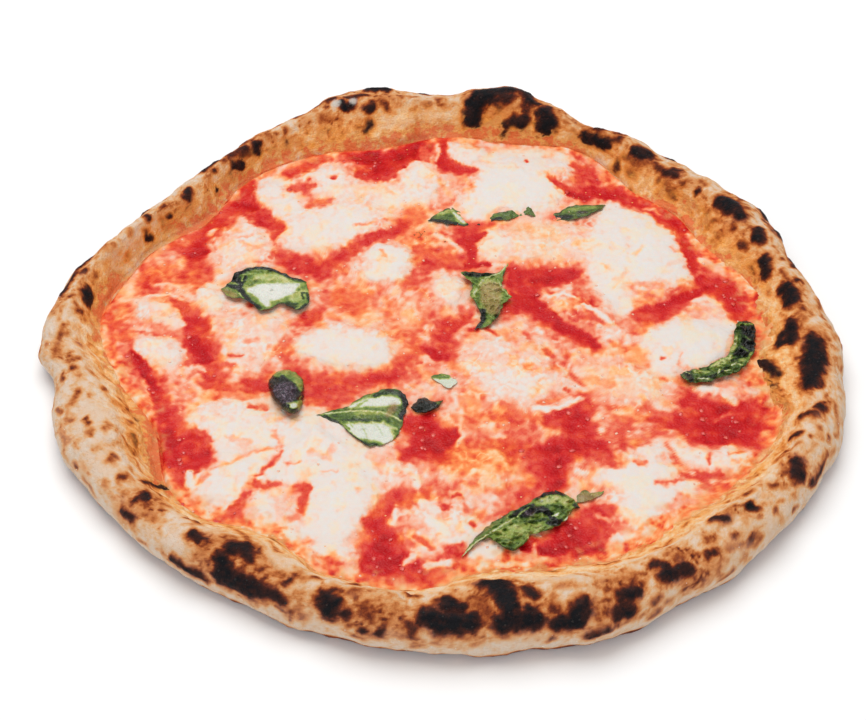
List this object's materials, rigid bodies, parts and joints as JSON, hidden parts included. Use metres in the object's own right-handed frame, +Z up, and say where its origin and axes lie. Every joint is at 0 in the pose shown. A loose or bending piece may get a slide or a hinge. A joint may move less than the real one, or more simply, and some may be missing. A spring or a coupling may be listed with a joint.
{
  "type": "margherita pizza",
  "caption": "Round baked pizza with a raised, charred rim, tomato sauce, melted mozzarella pools and wilted basil leaves.",
  "frame": {"origin": "on the flat underside, under the middle of the outline", "axes": "+Z up out of the toppings, +X to the right and +Y away from a viewer who stands at the front"},
  "size_m": [0.3216, 0.3138, 0.0226],
  "materials": {
    "crust": "baked wheat dough, matt, golden to brown with charred blisters and a little flour",
    "sauce": "crushed tomato, moist, with oil and milk from the cheese",
    "cheese": "melted fresh mozzarella, soft sheen, milky",
    "basil": "wilted basil leaf, green with dark singed edges"
  },
  "bodies": {
    "root": {"crust": "crust", "tomato_sauce": "sauce", "mozzarella_1": "cheese", "mozzarella_2": "cheese", "mozzarella_3": "cheese", "mozzarella_4": "cheese", "mozzarella_5": "cheese", "mozzarella_6": "cheese", "mozzarella_7": "cheese", "mozzarella_8": "cheese", "mozzarella_9": "cheese", "mozzarella_10": "cheese", "mozzarella_11": "cheese", "mozzarella_12": "cheese", "mozzarella_13": "cheese", "mozzarella_14": "cheese", "mozzarella_15": "cheese", "mozzarella_16": "cheese", "mozzarella_17": "cheese", "mozzarella_18": "cheese", "mozzarella_19": "cheese", "mozzarella_20": "cheese", "mozzarella_21": "cheese", "mozzarella_22": "cheese", "mozzarella_23": "cheese", "mozzarella_24": "cheese", "mozzarella_25": "cheese", "mozzarella_26": "cheese", "mozzarella_27": "cheese", "mozzarella_28": "cheese", "mozzarella_29": "cheese", "mozzarella_30": "cheese", "mozzarella_31": "cheese", "mozzarella_32": "cheese", "basil_1": "basil", "basil_2": "basil", "basil_3": "basil", "basil_4": "basil", "basil_5": "basil", "basil_6": "basil", "basil_7": "basil", "basil_8": "basil", "basil_9": "basil", "basil_10": "basil"}
  },
  "joints": []
}
